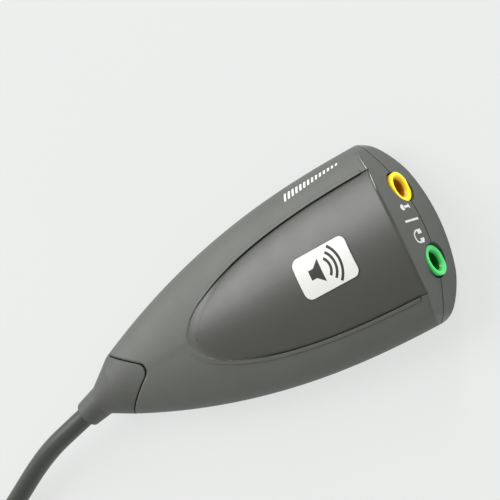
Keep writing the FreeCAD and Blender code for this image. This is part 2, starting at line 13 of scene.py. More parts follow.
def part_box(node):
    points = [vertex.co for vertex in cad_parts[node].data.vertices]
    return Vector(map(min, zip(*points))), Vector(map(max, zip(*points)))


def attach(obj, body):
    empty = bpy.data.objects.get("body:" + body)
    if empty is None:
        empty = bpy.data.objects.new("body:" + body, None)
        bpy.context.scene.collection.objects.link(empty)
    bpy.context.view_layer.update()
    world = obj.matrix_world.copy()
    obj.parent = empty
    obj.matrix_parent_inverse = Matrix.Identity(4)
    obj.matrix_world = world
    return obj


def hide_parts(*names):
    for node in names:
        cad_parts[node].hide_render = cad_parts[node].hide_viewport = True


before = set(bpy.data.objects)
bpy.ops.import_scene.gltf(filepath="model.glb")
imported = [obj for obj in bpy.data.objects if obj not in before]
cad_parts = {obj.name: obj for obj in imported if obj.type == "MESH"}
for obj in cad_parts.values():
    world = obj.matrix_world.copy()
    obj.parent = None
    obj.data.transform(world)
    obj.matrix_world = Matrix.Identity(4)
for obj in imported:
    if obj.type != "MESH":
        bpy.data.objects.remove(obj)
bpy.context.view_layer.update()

bl_info = {
    "name": "Sound Card Dresser",
    "version": (1, 0, 0),
    "blender": (4, 5, 0),
    "location": "3D View > Sidebar > Sound Card",
    "description": "Builds the finishes, lead, prints and stage of a small audio adapter",
    "category": "Object",
}

MM = 0.001
BODY = "root"
NOSE_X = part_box("bottom_shell")[1][0]

# Shape of the raised panel's plan, a bullet: |across| ** BOW + along ** SWEEP = 1, and the share of its
# length at which its rim begins to run out
PANEL_SWEEP = 2.6
PANEL_BOW = 1.8
RUN_OUT_FROM = 0.78

# Where pieces start before they are pressed on: prints this far out from their place, and the strip at
# the panel's tip at this height
PRINT_START = 6 * MM
STRIP_START = 20 * MM

# Control points of the lead in millimetres, from the boot to the plug. They are the CAD tube's, some of
# them moved by up to 2 mm to follow the photograph.
LEAD_ROUTE = (
    (-43.30, -1.94, 6.50),
    (-49.17, -3.19, 6.50),
    (-55.30, -4.45, 6.10),
    (-62.10, -6.54, 5.00),
    (-69.50, -9.50, 3.70),
    (-77.90, -13.00, 2.60),
    (-87.70, -15.90, 2.05),
    (-98.70, -17.24, 2.00),
    (-110.10, -16.64, 2.05),
    (-121.10, -15.14, 2.40),
    (-130.90, -13.94, 3.10),
    (-139.90, -13.34, 3.95),
    (-147.90, -13.34, 3.95),
)


# Properties


class SoundCardSizes(bpy.types.PropertyGroup):
    panel_length: FloatProperty(
        name="Panel length", description="Nose to the tip of the raised panel",
        default=54.6 * MM, unit="LENGTH",
    )
    panel_width: FloatProperty(
        name="Panel width", description="Raised panel at the nose", default=25.4 * MM, unit="LENGTH"
    )
    lead_diameter: FloatProperty(
        name="Lead", description="Diameter of the lead", default=4 * MM, unit="LENGTH"
    )
    lead_length: FloatProperty(
        name="Lead length", description="Boot to plug", default=107.5 * MM, unit="LENGTH"
    )
    rim_round: FloatProperty(
        name="Jack rim", description="Radius of the jacks' edges", default=0.16 * MM, unit="LENGTH"
    )
    ink_thickness: FloatProperty(
        name="Ink", description="Thickness of the printed marks", default=0.03 * MM, unit="LENGTH"
    )
    label_mark_behind: FloatProperty(
        name="Label mark", description="Middle of the label's mark behind the nose",
        default=18.2 * MM, unit="LENGTH",
    )


class SoundCardFinishes(bpy.types.PropertyGroup):
    housing: StringProperty(name="Housing", description="Textured shells", default="#575A56")
    housing_drift: StringProperty(
        name="Housing drift", description="Paler patches of the shells", default="#5B5E5A"
    )
    panel: StringProperty(name="Panel", description="Smoother raised panel", default="#464744")
    panel_drift: StringProperty(
        name="Panel drift", description="Paler patches of the panel", default="#4A4B48"
    )
    grommet: StringProperty(name="Grommet", description="Soft moulding at the tail", default="#525451")
    lead: StringProperty(
        name="Lead", description="Jacket of the lead and grip of the plug", default="#3B3E3B"
    )
    lead_drift: StringProperty(
        name="Lead drift", description="Paler patches of the lead and grip", default="#404340"
    )
    label: StringProperty(name="Label", description="White label film", default="#EDEEEC")
    white_ink: StringProperty(name="White ink", description="Marks on the housing", default="#FAFBFB")
    dark_ink: StringProperty(name="Dark ink", description="Mark on the label", default="#2A2B2B")
    microphone: StringProperty(name="Microphone jack", description="Yellow jack", default="#FFEA12")
    # Painted shade: the yellow jack's colour darkens to this deep in its bore
    microphone_bore_shade: StringProperty(
        name="Microphone bore", description="Deep in the yellow jack", default="#B26A08"
    )
    headphone: StringProperty(name="Headphone jack", description="Green jack", default="#4FD873")
    # Painted shade: the green jack's colour darkens to this deep in its bore
    headphone_bore_shade: StringProperty(
        name="Headphone bore", description="Deep in the green jack", default="#0E6422"
    )


class SoundCardStage(bpy.types.PropertyGroup):
    aim: FloatVectorProperty(
        name="Aim", description="Point in the middle of the picture",
        default=(7.635 * MM, 11.003 * MM, 6.44 * MM), unit="LENGTH",
    )
    distance: FloatProperty(
        name="Distance", description="Camera to aim", default=453.44 * MM, unit="LENGTH"
    )
    azimuth: FloatProperty(
        name="Azimuth", description="Camera round the part from +X",
        default=math.radians(-13.28), unit="ROTATION",
    )
    elevation: FloatProperty(
        name="Elevation", description="Camera above the horizon",
        default=math.radians(58.09), unit="ROTATION",
    )
    roll: FloatProperty(
        name="Roll", description="Camera turned on its axis",
        default=math.radians(-103.85), unit="ROTATION",
    )
    lens: FloatProperty(
        name="Lens", description="Focal length in millimetres on a 36 mm frame", default=170.04
    )
    backdrop: StringProperty(name="Backdrop", description="Pale studio floor", default="#E9EBEA")
    sky: StringProperty(name="Sky", description="Even light from all round", default="#F4F3EF")
    sky_strength: FloatProperty(name="Sky strength", description="Level of the even light", default=0.6)


# Small helpers


def linear(hex_colour):
    """An sRGB hex colour as linear RGBA."""
    channels = [int(hex_colour[i:i + 2], 16) / 255 for i in (1, 3, 5)]
    return [c / 12.92 if c <= 0.04045 else ((c + 0.055) / 1.055) ** 2.4 for c in channels] + [1.0]


def add_node(tree, kind, inputs=None, **settings):
    """Adds a node with its settings, and sets or links its inputs by name or number."""
    node = tree.nodes.new(kind)
    for key, value in settings.items():
        setattr(node, key, value)
    for key, value in (inputs or {}).items():
        if isinstance(value, bpy.types.NodeSocket):
            tree.links.new(value, node.inputs[key])
        else:
            node.inputs[key].default_value = value
    return node


def new_material(name):
    """An empty node material, its tree and its object coordinates."""
    material = bpy.data.materials.new(name)
    material.use_nodes = True
    tree = material.node_tree
    tree.nodes.clear()
    return material, tree, add_node(tree, "ShaderNodeTexCoord").outputs["Object"]


def per_metre(size_mm):
    """Texture scale at which one cell is `size_mm` wide."""
    return 1 / (size_mm * MM)


def two_tones(tree, factor, first, second, low=0.3, high=0.7):
    """A ramp between two sRGB colours."""
    ramp = add_node(tree, "ShaderNodeValToRGB", {"Fac": factor})
    for element, position, colour in zip(ramp.color_ramp.elements, (low, high), (first, second)):
        element.position = position
        element.color = linear(colour)
    return ramp.outputs["Color"]


def deselect_all():
    """Leaves edit mode and selects nothing."""
    if bpy.context.mode != "OBJECT":
        bpy.ops.object.mode_set(mode="OBJECT")
    bpy.ops.object.select_all(action="DESELECT")


def take(obj):
    """Makes one object the only selected and active one."""
    deselect_all()
    obj.select_set(True)
    bpy.context.view_layer.objects.active = obj


def settle(obj):
    """Puts the object's place, turn and scale into its mesh."""
    take(obj)
    bpy.ops.object.transform_apply(location=True, rotation=True, scale=True)


def apply_modifier(obj, kind, **settings):
    """Adds a modifier and applies it."""
    take(obj)
    modifier = obj.modifiers.new(kind.lower(), kind)
    for key, value in settings.items():
        setattr(modifier, key, value)
    bpy.ops.object.modifier_apply(modifier=modifier.name)


def finish_piece(obj, name, material, node=None):
    """Names a new piece and hands it to the frame."""
    obj.name = obj.data.name = name
    obj.data.materials.clear()
    obj.data.materials.append(material)
    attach(obj, BODY)
    if node:
        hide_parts(node)


def dress(node, material):
    """Gives a CAD node its finish."""
    node_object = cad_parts[node]
    if not node_object.material_slots:
        node_object.data.materials.append(material)
    for slot in node_object.material_slots:
        slot.material = material


# Finishes


def moulded_plastic(name, colour, drift_colour, roughness, grain_mm, relief_mm, edge_mm=0.02):
    """A plain moulding: a fine grain from the tool, slow drifts of tone, and shade painted into its grooves.

    Its edges look broken by `edge_mm`.
    """
    material, tree, coords = new_material(name)
    drift = add_node(
        tree, "ShaderNodeTexNoise", {"Vector": coords, "Scale": per_metre(9), "Detail": 3.0}
    )
    tone = two_tones(tree, drift.outputs["Fac"], colour, drift_colour)
    # Painted shade: ambient occlusion darkens the colour in grooves and hollows
    shade = add_node(
        tree, "ShaderNodeAmbientOcclusion", {"Color": tone, "Distance": 0.7 * MM}, samples=8
    )
    grain = add_node(
        tree, "ShaderNodeTexNoise", {"Vector": coords, "Scale": per_metre(grain_mm), "Detail": 2.0}
    )
    gloss = add_node(
        tree, "ShaderNodeMapRange",
        {"Value": grain.outputs["Fac"], "To Min": roughness - 0.06, "To Max": roughness + 0.06},
    )
    edges = add_node(tree, "ShaderNodeBevel", {"Radius": edge_mm * MM}, samples=4)
    relief = add_node(
        tree, "ShaderNodeBump",
        {
            "Height": grain.outputs["Fac"], "Strength": 0.6, "Distance": relief_mm * MM,
            "Normal": edges.outputs["Normal"],
        },
    )
    shader = add_node(
        tree, "ShaderNodeBsdfPrincipled",
        {
            "Base Color": shade.outputs["Color"], "Roughness": gloss.outputs["Result"],
            "Normal": relief.outputs["Normal"],
        },
    )
    add_node(tree, "ShaderNodeOutputMaterial", {"Surface": shader.outputs["BSDF"]})
    return material


def panel_mask(tree, coords, sizes):
    """A mask of the raised panel's upper face, and the share of the panel's length from the nose.

    The mask is 1 on the panel and 0 beside it. Its border blurs where the rim runs out.
    """
    axes = add_node(tree, "ShaderNodeSeparateXYZ", {"Vector": coords})
    share = add_node(
        tree, "ShaderNodeMapRange",
        {"Value": axes.outputs["X"], "From Min": NOSE_X, "From Max": NOSE_X - sizes.panel_length},
    )
    swept = add_node(tree, "ShaderNodeMath", {0: share.outputs["Result"], 1: PANEL_SWEEP}, operation="POWER")
    left = add_node(tree, "ShaderNodeMath", {0: 1.0, 1: swept.outputs["Value"]}, operation="SUBTRACT")
    bowed = add_node(tree, "ShaderNodeMath", {0: left.outputs["Value"], 1: 1 / PANEL_BOW}, operation="POWER")
    across = add_node(tree, "ShaderNodeMath", {0: axes.outputs["Y"]}, operation="ABSOLUTE")
    reach = add_node(
        tree, "ShaderNodeMath",
        {0: bowed.outputs["Value"], 1: sizes.panel_width / 2}, operation="MULTIPLY",
    )
    margin = add_node(
        tree, "ShaderNodeMath",
        {0: reach.outputs["Value"], 1: across.outputs["Value"]}, operation="SUBTRACT",
    )
    blur = add_node(
        tree, "ShaderNodeMapRange",
        {
            "Value": share.outputs["Result"], "From Min": RUN_OUT_FROM,
            "To Min": 0.05 * MM, "To Max": 1.5 * MM,
        },
    )
    outer = add_node(tree, "ShaderNodeMath", {0: blur.outputs["Result"], 1: -1.0}, operation="MULTIPLY")
    edge = add_node(
        tree, "ShaderNodeMapRange",
        {
            "Value": margin.outputs["Value"], "From Min": outer.outputs["Value"],
            "From Max": blur.outputs["Result"],
        },
    )
    facing = add_node(tree, "ShaderNodeSeparateXYZ", {"Vector": coords.node.outputs["Normal"]})
    upward = add_node(
        tree, "ShaderNodeMapRange", {"Value": facing.outputs["Z"], "From Min": 0.3, "From Max": 0.5}
    )
    mask = add_node(
        tree, "ShaderNodeMath",
        {0: edge.outputs["Result"], 1: upward.outputs["Result"]}, operation="MULTIPLY",
    )
    return mask.outputs["Value"], share.outputs["Result"]


def housing_abs(name, colours, sizes, edge_mm):
    """Dark grey ABS from a spark-eroded tool: matte with a fine grain, smoother on the raised panel."""
    material, tree, coords = new_material(name)
    on_panel, share = panel_mask(tree, coords, sizes)
    drift = add_node(
        tree, "ShaderNodeTexNoise", {"Vector": coords, "Scale": per_metre(11), "Detail": 4.0}
    )
    flank_tone = two_tones(tree, drift.outputs["Fac"], colours.housing, colours.housing_drift)
    panel_tone = two_tones(tree, drift.outputs["Fac"], colours.panel, colours.panel_drift)
    # Inputs 6 and 7 and output 2 are the Mix node's colours
    tone = add_node(
        tree, "ShaderNodeMix", {0: on_panel, 6: flank_tone, 7: panel_tone}, data_type="RGBA"
    )
    # Painted shade: ambient occlusion darkens the colour in the grooves and seams
    shade = add_node(
        tree, "ShaderNodeAmbientOcclusion",
        {"Color": tone.outputs[2], "Distance": 3 * edge_mm * MM}, samples=8,
    )
    # The real grit is near 0.1 mm. It is drawn at 0.3 mm so that it shows.
    grit = add_node(
        tree, "ShaderNodeTexNoise", {"Vector": coords, "Scale": per_metre(0.3), "Detail": 3.0}
    )
    smear = add_node(
        tree, "ShaderNodeTexNoise", {"Vector": coords, "Scale": per_metre(4), "Detail": 5.0}
    )
    base_gloss = add_node(tree, "ShaderNodeMapRange", {"Value": on_panel, "To Min": 0.5, "To Max": 0.33})
    gloss = add_node(
        tree, "ShaderNodeMath", {0: smear.outputs["Fac"], 1: 0.1, 2: base_gloss.outputs["Result"]},
        operation="MULTIPLY_ADD",
    )
    # The tool is polished along the nose's rounded edge, which catches a bright line
    towards = add_node(tree, "ShaderNodeSeparateXYZ", {"Vector": coords.node.outputs["Normal"]})
    nose_edge = add_node(tree, "ShaderNodeValToRGB", {"Fac": towards.outputs["X"]})
    for place, level in ((0.2, 0.0), (0.4, 1.0), (0.75, 1.0), (0.88, 0.0)):
        stop = nose_edge.color_ramp.elements.new(place)
        stop.color = (level, level, level, 1)
    nose_edge.color_ramp.elements.remove(nose_edge.color_ramp.elements[-1])
    polished = add_node(
        tree, "ShaderNodeMath", {0: nose_edge.outputs["Color"], 1: -0.3, 2: gloss.outputs["Value"]},
        operation="MULTIPLY_ADD",
    )
    strength = add_node(tree, "ShaderNodeMapRange", {"Value": on_panel, "To Min": 0.5, "To Max": 0.25})
    # Edges are broken, and blend more softly where the panel's rim runs out at its tip
    soft = add_node(
        tree, "ShaderNodeMapRange",
        {"Value": share, "From Min": RUN_OUT_FROM, "To Min": edge_mm * MM, "To Max": 5 * edge_mm * MM},
    )
    edges = add_node(tree, "ShaderNodeBevel", {"Radius": soft.outputs["Result"]}, samples=8)
    relief = add_node(
        tree, "ShaderNodeBump",
        {
            "Height": grit.outputs["Fac"], "Strength": strength.outputs["Result"], "Distance": 0.05 * MM,
            "Normal": edges.outputs["Normal"],
        },
    )
    shader = add_node(
        tree, "ShaderNodeBsdfPrincipled",
        {
            "Base Color": shade.outputs["Color"], "Roughness": polished.outputs["Value"],
            "Specular IOR Level": 0.7, "Normal": relief.outputs["Normal"],
        },
    )
    add_node(tree, "ShaderNodeOutputMaterial", {"Surface": shader.outputs["BSDF"]})
    return material


def jack_plastic(name, colour, bore_shade_colour, mouth_x):
    """Bright moulded ring round a bore, with shade painted in that darkens it inwards where little light
    reaches, and a faint painted glow on the ring.
    """
    material, tree, coords = new_material(name)
    axes = add_node(tree, "ShaderNodeSeparateXYZ", {"Vector": coords})
    depth = add_node(
        tree, "ShaderNodeMapRange",
        {"Value": axes.outputs["X"], "From Min": mouth_x - 0.04 * MM, "From Max": mouth_x - 0.9 * MM},
    )
    # Painted shade: the colour darkens from the mouth to the bore shade 0.9 mm in
    tone = two_tones(tree, depth.outputs["Result"], colour, bore_shade_colour, 0.0, 1.0)
    grain = add_node(
        tree, "ShaderNodeTexNoise", {"Vector": coords, "Scale": per_metre(0.5), "Detail": 2.0}
    )
    gloss = add_node(
        tree, "ShaderNodeMapRange", {"Value": grain.outputs["Fac"], "To Min": 0.22, "To Max": 0.38}
    )
    # Painted light: the ring glows faintly in its own colour, fading out into the bore
    glow = add_node(
        tree, "ShaderNodeMapRange", {"Value": depth.outputs["Result"], "To Min": 0.35, "To Max": 0.0}
    )
    shader = add_node(
        tree, "ShaderNodeBsdfPrincipled",
        {
            "Base Color": tone, "Roughness": gloss.outputs["Result"], "Emission Color": tone,
            "Emission Strength": glow.outputs["Result"],
        },
    )
    add_node(tree, "ShaderNodeOutputMaterial", {"Surface": shader.outputs["BSDF"]})
    return material


def drawn_metal(name, colour, roughness, streak_mm):
    """Sheet metal with faint drawing lines along its length."""
    material, tree, coords = new_material(name)
    stretch = add_node(tree, "ShaderNodeMapping", {"Vector": coords, "Scale": (0.05, 1.0, 1.0)})
    streaks = add_node(
        tree, "ShaderNodeTexNoise",
        {"Vector": stretch.outputs["Vector"], "Scale": per_metre(streak_mm), "Detail": 3.0},
    )
    gloss = add_node(
        tree, "ShaderNodeMapRange",
        {"Value": streaks.outputs["Fac"], "To Min": roughness - 0.05, "To Max": roughness + 0.1},
    )
    relief = add_node(
        tree, "ShaderNodeBump", {"Height": streaks.outputs["Fac"], "Strength": 0.3, "Distance": 0.01 * MM}
    )
    shader = add_node(
        tree, "ShaderNodeBsdfPrincipled",
        {
            "Base Color": linear(colour), "Metallic": 1.0, "Roughness": gloss.outputs["Result"],
            "Normal": relief.outputs["Normal"],
        },
    )
    add_node(tree, "ShaderNodeOutputMaterial", {"Surface": shader.outputs["BSDF"]})
    return material


def solder_mask(name, colour, track_colour):
    """Green lacquer over copper: tracks show as slightly paler lines."""
    material, tree, coords = new_material(name)
    tracks = add_node(
        tree, "ShaderNodeTexBrick",
        {
            "Vector": coords, "Scale": per_metre(6), "Color1": linear(colour), "Color2": linear(colour),
            "Mortar": linear(track_colour), "Mortar Size": 0.04,
        },
    )
    shader = add_node(
        tree, "ShaderNodeBsdfPrincipled", {"Base Color": tracks.outputs["Color"], "Roughness": 0.3}
    )
    add_node(tree, "ShaderNodeOutputMaterial", {"Surface": shader.outputs["BSDF"]})
    return material


def studio_paper(backdrop):
    """Pale seamless paper: an even tone to the camera, with the object's shadow kept faintly."""
    material, tree, coords = new_material("studio_paper")
    path = add_node(tree, "ShaderNodeLightPath")
    fibre = add_node(
        tree, "ShaderNodeTexNoise", {"Vector": coords, "Scale": per_metre(60), "Detail": 2.0}
    )
    tone = two_tones(tree, fibre.outputs["Fac"], "#EFF1F0", "#F3F4F3")
    paper = add_node(tree, "ShaderNodeBsdfDiffuse", {"Color": tone})
    glow = add_node(tree, "ShaderNodeEmission", {"Color": linear(backdrop), "Strength": 1.0})
    mirrored = add_node(
        tree, "ShaderNodeMath",
        {0: path.outputs["Is Glossy Ray"], 1: path.outputs["Is Transmission Ray"]}, operation="MAXIMUM",
    )
    seen = add_node(
        tree, "ShaderNodeMath",
        {0: path.outputs["Is Camera Ray"], 1: mirrored.outputs["Value"]}, operation="MAXIMUM",
    )
    share = add_node(tree, "ShaderNodeMapRange", {"Value": seen.outputs["Value"], "To Max": 0.8})
    mixed = add_node(
        tree, "ShaderNodeMixShader",
        {0: share.outputs["Result"], 1: paper.outputs["BSDF"], 2: glow.outputs["Emission"]},
    )
    add_node(tree, "ShaderNodeOutputMaterial", {"Surface": mixed.outputs["Shader"]})
    return material


# Printed marks: flat shapes in millimetres, joined and pressed onto the piece below


def bar(x, y, width, height, cuts=0):
    """A bar with its middle at x, y, cut `cuts` times each way to follow a curved surface."""
    deselect_all()
    bpy.ops.mesh.primitive_plane_add(size=1, location=(x, y, 0))
    shape = bpy.context.object
    shape.scale = (width, height, 1)
    settle(shape)
    if cuts:
        bpy.ops.object.mode_set(mode="EDIT")
        bpy.ops.mesh.select_all(action="SELECT")
        bpy.ops.mesh.subdivide(number_cuts=cuts)
        bpy.ops.object.mode_set(mode="OBJECT")
    return shape


def disc(x, y, radius):
    """A filled disc."""
    deselect_all()
    bpy.ops.mesh.primitive_circle_add(
        vertices=24, radius=radius, fill_type="TRIFAN", location=(x, y, 0)
    )
    shape = bpy.context.object
    settle(shape)
    return shape


def arc(x, y, inner, outer, *keep):
    """A ring, or the part of it that lies towards each of the directions `keep`."""
    deselect_all()
    bpy.ops.mesh.primitive_circle_add(vertices=48, radius=outer, location=(x, y, 0))
    shape = bpy.context.object
    bpy.ops.object.mode_set(mode="EDIT")
    bpy.ops.mesh.select_all(action="SELECT")
    bpy.ops.mesh.extrude_region()
    bpy.ops.transform.resize(value=(inner / outer, inner / outer, 1))
    for direction in keep:
        bpy.ops.mesh.select_all(action="SELECT")
        bpy.ops.mesh.bisect(plane_co=(x, y, 0), plane_no=(*direction, 0), clear_inner=True)
    settle(shape)
    return shape


def cone(x, y, width, low, high, cuts):
    """A trapezium that widens along X from `low` to `high`."""
    shape = bar(x, y, width, low, cuts)
    for vertex in shape.data.vertices:
        along = (vertex.co.x - x) / width + 0.5
        vertex.co.y = y + (vertex.co.y - y) * (1 + along * (high / low - 1))
    return shape


def press_on(shapes, name, slot, material, node, place, along, outward, thickness):
    """Joins flat shapes, turns them to face `outward` at `place` and presses them onto a CAD node."""
    deselect_all()
    for shape in shapes:
        shape.select_set(True)
    printed = shapes[0]
    bpy.context.view_layer.objects.active = printed
    bpy.ops.object.join()
    normal = Vector(outward).normalized()
    right = (Vector(along) - normal * normal.dot(Vector(along))).normalized()
    turn = Matrix((right, normal.cross(right), normal)).transposed().to_4x4()
    start = Vector(place) * MM + normal * PRINT_START
    printed.matrix_world = Matrix.Translation(start) @ turn @ Matrix.Scale(MM, 4)
    apply_modifier(
        printed, "SHRINKWRAP", target=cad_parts[node], wrap_method="PROJECT", use_project_z=True,
        use_negative_direction=True, use_positive_direction=False,
    )
    settle(printed)
    apply_modifier(printed, "SOLIDIFY", thickness=thickness, offset=0.0)
    bpy.ops.object.mode_set(mode="EDIT")
    bpy.ops.mesh.select_all(action="SELECT")
    bpy.ops.mesh.normals_make_consistent(inside=False)
    bpy.ops.object.mode_set(mode="OBJECT")
    finish_piece(printed, name, material)


# Operators


class SOUNDCARD_OT_stage(bpy.types.Operator):
    """Camera at the photograph's angle, pale floor and soft light"""
    bl_idname = "soundcard.stage"
    bl_label = "Stage"

    floor_size = 6.0
    # Just under the part, so that the floor and the keel don't share a plane
    floor_height = -0.02 * MM
    # Name, place, width, height and power: a wide window behind, a tall strip beside the nose, and a
    # weak fill in front
    lamps = (
        ("window", (-0.51, 0.57, 0.63), 0.7, 0.7, 6.9),
        ("strip", (0.46, 0.86, 0.24), 0.2, 0.5, 4.8),
        ("fill", (0.85, -0.1, 0.5), 0.5, 0.5, 0.35),
    )

    def execute(self, context):
        stage = context.scene.sound_card_stage
        self.add_camera(context, stage)
        deselect_all()
        bpy.ops.mesh.primitive_plane_add(size=self.floor_size, location=(0, 0, self.floor_height))
        floor = context.object
        floor.name = "floor"
        floor.data.materials.append(studio_paper(stage.backdrop))
        self.add_light(context, stage)
        context.scene.view_settings.view_transform = "Standard"
        return {"FINISHED"}

    def add_camera(self, context, stage):
        az, el, roll = stage.azimuth, stage.elevation, stage.roll
        back = Vector((math.cos(az) * math.cos(el), math.sin(az) * math.cos(el), math.sin(el)))
        level_right = Vector((-math.sin(az), math.cos(az), 0))
        level_up = back.cross(level_right)
        right = math.cos(roll) * level_right + math.sin(roll) * level_up
        turn = Matrix((right, back.cross(right), back)).transposed().to_4x4()
        bpy.ops.object.camera_add()
        camera = context.object
        camera.name = "camera"
        camera.data.lens, camera.data.sensor_width = stage.lens, 36
        camera.data.clip_start, camera.data.clip_end = 0.01, 20
        camera.matrix_world = Matrix.Translation(Vector(stage.aim) + back * stage.distance) @ turn
        context.scene.camera = camera

    def add_light(self, context, stage):
        world = bpy.data.worlds.new("studio")
        context.scene.world = world
        world.use_nodes = True
        sky = world.node_tree.nodes["Background"]
        sky.inputs["Color"].default_value = linear(stage.sky)
        sky.inputs["Strength"].default_value = stage.sky_strength
        for name, place, width, height, power in self.lamps:
            facing = Vector(place).to_track_quat("Z", "Y").to_euler()
            bpy.ops.object.light_add(type="AREA", location=place, rotation=facing)
            context.object.name = name
            lamp = context.object.data
            lamp.shape, lamp.size, lamp.size_y, lamp.energy = "RECTANGLE", width, height, power


class SOUNDCARD_OT_lead(bpy.types.Operator):
    """Round lead from the boot to the plug"""
    bl_idname = "soundcard.lead"
    bl_label = "Lead"

    def execute(self, context):
        sizes, colours = context.scene.sound_card_sizes, context.scene.sound_card_finishes
        curve = bpy.data.curves.new("lead", "CURVE")
        curve.dimensions = "3D"
        spline = curve.splines.new("NURBS")
        spline.points.add(len(LEAD_ROUTE) - 1)
        for point, place in zip(spline.points, LEAD_ROUTE):
            point.co = (*(c * MM for c in place), 1.0)
        spline.order_u = 3
        spline.use_endpoint_u = True
        spline.resolution_u = 12
        curve.bevel_depth, curve.bevel_resolution = sizes.lead_diameter / 2, 8
        curve.use_fill_caps = True
        lead = bpy.data.objects.new("lead", curve)
        context.scene.collection.objects.link(lead)
        # Extruded PVC: smooth and a little shiny along its length
        jacket = moulded_plastic("lead_jacket_pvc", colours.lead, colours.lead_drift, 0.42, 0.5, 0.01)
        finish_piece(lead, "lead", jacket, "usb_cord")
        return {"FINISHED"}


class SOUNDCARD_OT_housing(bpy.types.Operator):
    """Finishes of the shells, the grommet and the label"""
    bl_idname = "soundcard.housing"
    bl_label = "Housing"

    def execute(self, context):
        sizes, colours = context.scene.sound_card_sizes, context.scene.sound_card_finishes
        shells = housing_abs("housing_abs", colours, sizes, 0.14)
        for node in ("top_shell", "bottom_shell"):
            dress(node, shells)
        # Soft PVC moulded onto the lead: duller than the shells, with a slightly uneven skin
        pvc = moulded_plastic("grommet_pvc", colours.grommet, "#575956", 0.52, 0.45, 0.02, 0.5)
        dress("cable_grommet", pvc)
        # Polyester film: smooth, with a faint sheen
        dress("label", moulded_plastic("label_film", colours.label, "#F2F3F1", 0.32, 0.3, 0.002))
        return {"FINISHED"}


class SOUNDCARD_OT_panel_tip(bpy.types.Operator):
    """Soft run-out of the panel's rim round its tip"""
    bl_idname = "soundcard.panel_tip"
    bl_label = "Panel tip"

    # Quads along and across the strip, and how far it goes round the tip to each side
    rows, columns, spread = 110, 28, math.radians(50)
    # Reach from the panel's outline inwards and outwards
    inner, outer = 2.6 * MM, 1.4 * MM
    # Rows at the inner border that stay on the shell
    border = 2
    lift, thickness = 0.015 * MM, 0.1 * MM

    def outline(self, sizes, angle):
        """Point of the panel's plan: 0 is its tip, and a quarter turn is its corner at the nose."""
        along = math.cos(angle) ** (2 / PANEL_SWEEP) * sizes.panel_length
        across = math.copysign(abs(math.sin(angle)) ** (2 / PANEL_BOW), angle) * sizes.panel_width / 2
        return Vector((NOSE_X - along, across, 0))

    def execute(self, context):
        sizes = context.scene.sound_card_sizes
        per_row = self.rows + 1
        deselect_all()
        bpy.ops.mesh.primitive_grid_add(x_subdivisions=self.rows, y_subdivisions=self.columns, size=2)
        strip = context.object
        for vertex in strip.data.vertices:
            angle = vertex.co.x * self.spread
            ahead = self.outline(sizes, angle + 0.002) - self.outline(sizes, angle - 0.002)
            outward = Vector((-ahead.y, ahead.x, 0)).normalized()
            fade = 1 - abs(vertex.co.x) ** 2.5
            reach = (self.outer if vertex.co.y > 0 else self.inner) * (0.1 + 0.9 * fade)
            above = Vector((0, 0, STRIP_START))
            vertex.co = self.outline(sizes, angle) + outward * vertex.co.y * reach + above
        apply_modifier(
            strip, "SHRINKWRAP", target=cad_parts["top_shell"], wrap_method="PROJECT",
            use_project_z=True, use_negative_direction=True, use_positive_direction=False,
        )
        pressed = [vertex.co.copy() for vertex in strip.data.vertices]
        inside = strip.vertex_groups.new(name="inside")
        inside.add(range(self.border * per_row, (self.columns // 2 + 1) * per_row), 1.0, "REPLACE")
        apply_modifier(strip, "SMOOTH", iterations=400, factor=0.5, vertex_group="inside")
        # The blend fades into the groove towards both ends of the strip
        for index, vertex in enumerate(strip.data.vertices):
            share = abs(index % per_row / self.rows * 2 - 1)
            vertex.co = pressed[index].lerp(vertex.co, 1 - share ** 2)
        strip.location.z = self.lift
        settle(strip)
        strip.vertex_groups.clear()
        apply_modifier(strip, "SOLIDIFY", thickness=self.thickness, offset=-1.0)
        bpy.ops.object.shade_smooth_by_angle(angle=math.radians(40))
        # The housing's own finish, without broken edges, so that the thin strip melts into the shell
        skin = housing_abs("housing_abs_run_out", context.scene.sound_card_finishes, sizes, 0.001)
        finish_piece(strip, "panel_tip_blend", skin)
        return {"FINISHED"}


class SOUNDCARD_OT_jacks(bpy.types.Operator):
    """The two jacks, with the rounded rims that moulding gives them"""
    bl_idname = "soundcard.jacks"
    bl_label = "Jacks"

    def execute(self, context):
        sizes, colours = context.scene.sound_card_sizes, context.scene.sound_card_finishes
        # Each jack's colour and the painted shade deep in its bore
        for side, slot, colour, bore_shade in (
            ("microphone", "jack_yellow", colours.microphone, colours.microphone_bore_shade),
            ("headphone", "jack_green", colours.headphone, colours.headphone_bore_shade),
        ):
            node = f"{side}_jack"
            deselect_all()
            jack = bpy.data.objects.new(node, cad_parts[node].data.copy())
            context.scene.collection.objects.link(jack)
            take(jack)
            bpy.ops.object.mode_set(mode="EDIT")
            bpy.ops.mesh.select_all(action="SELECT")
            bpy.ops.mesh.remove_doubles(threshold=0.001 * MM)
            bpy.ops.mesh.dissolve_limited(angle_limit=math.radians(0.5))
            bpy.ops.object.mode_set(mode="OBJECT")
            apply_modifier(
                jack, "BEVEL", width=sizes.rim_round, segments=3, limit_method="ANGLE",
                angle_limit=math.radians(35), use_clamp_overlap=True,
            )
            bpy.ops.object.shade_smooth_by_angle(angle=math.radians(30))
            finish = jack_plastic(f"{slot}_abs", colour, bore_shade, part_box(node)[1][0])
            finish_piece(jack, f"{side}_jack_moulding", finish, node)
        return {"FINISHED"}


